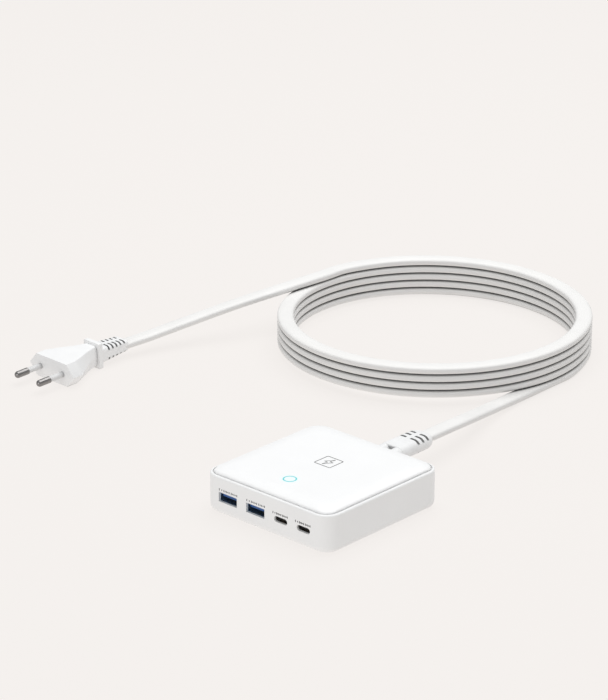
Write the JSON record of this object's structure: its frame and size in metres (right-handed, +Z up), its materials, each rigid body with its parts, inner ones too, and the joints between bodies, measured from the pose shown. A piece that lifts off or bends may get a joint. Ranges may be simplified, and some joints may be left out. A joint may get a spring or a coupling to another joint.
{
  "type": "usb hub",
  "caption": "Square desktop USB charging hub with rounded corners, sockets along the front, a ring light on top and a detachable flat mains cord with a two-pin plug.",
  "frame": {"origin": "centre of the hub's plan, on the plane its feet stand on", "axes": "+Z up, -Y out of the port face, +Y out of the mains inlet, +X to the right of someone facing the ports"},
  "size_m": [0.2923, 0.3462, 0.0256],
  "materials": {
    "shell_white": "fine satin moulding",
    "cover_white": "smooth satin moulding",
    "light_teal": "clear light pipe, lit",
    "led_yellow": "phosphor over a small package",
    "board_green": "solder mask",
    "chip_black": "moulded epoxy",
    "capacitor_yellow": "moulded box",
    "capacitor_sleeve": "shrink sleeve",
    "fuse_brown": "moulded cap",
    "ferrite": "ground ferrite",
    "winding_tape": "polyester tape",
    "copper_wire": "enamelled copper",
    "aluminium_plate": "mill finish",
    "moulding_black": "matt moulding",
    "nickel_pins": "nickel plate",
    "zinc_screws": "zinc plate",
    "rubber_grey": "soft matt rubber",
    "label_grey": "printed film, blank",
    "connector_white": "soft moulding",
    "cord_white": "soft jacket",
    "plug_white": "soft moulding",
    "sleeve_white": "insulating sleeve",
    "pin_metal": "nickel plate",
    "steel_shell": "nickel-plated steel",
    "tongue_blue": "moulded",
    "tongue_black": "moulded",
    "gold_contacts": "gold plate"
  },
  "bodies": {
    "hub": {"base_housing": "shell_white", "bridge_rectifier": "chip_black", "bulk_capacitor_1": "capacitor_sleeve", "bulk_capacitor_2": "capacitor_sleeve", "controller_board": "board_green", "controller_chip": "chip_black", "fuse": "fuse_brown", "heat_spreader": "aluminium_plate", "housing_screws": "zinc_screws", "inlet_housing": "moulding_black", "inlet_pins": "nickel_pins", "input_choke": "copper_wire", "light_ring": "light_teal", "light_ring_cap": "cover_white", "main_board": "board_green", "output_capacitor_1": "capacitor_sleeve", "output_capacitor_2": "capacitor_sleeve", "output_capacitor_3": "capacitor_sleeve", "rating_label": "label_grey", "rubber_feet": "rubber_grey", "status_led": "led_yellow", "top_cover": "cover_white", "transformer_core": "ferrite", "transformer_winding": "winding_tape", "usb_a_contacts_1": "gold_contacts", "usb_a_contacts_2": "gold_contacts", "usb_a_shell_1": "steel_shell", "usb_a_shell_2": "steel_shell", "usb_a_tongue_1": "tongue_blue", "usb_a_tongue_2": "tongue_blue", "usb_c_contacts_1": "gold_contacts", "usb_c_contacts_2": "gold_contacts", "usb_c_shell_1": "steel_shell", "usb_c_shell_2": "steel_shell", "usb_c_tongue_1": "tongue_black", "usb_c_tongue_2": "tongue_black", "x_capacitor": "capacitor_yellow"},
    "power_cord": {"connector_body": "connector_white", "connector_sockets": "nickel_pins", "connector_strain_relief": "connector_white", "cord_lead_hub": "cord_white", "cord_coil": "cord_white", "cord_lead_plug": "cord_white", "plug_body": "plug_white", "plug_strain_relief": "plug_white", "plug_pin_left": "pin_metal", "plug_pin_right": "pin_metal", "plug_sleeve_left": "sleeve_white", "plug_sleeve_right": "sleeve_white"}
  },
  "joints": [
    {"name": "connector_pull", "type": "slide", "parent": "hub", "child": "power_cord", "axis": [0, 1, 0], "range_m": [0, 0.016]}
  ]
}
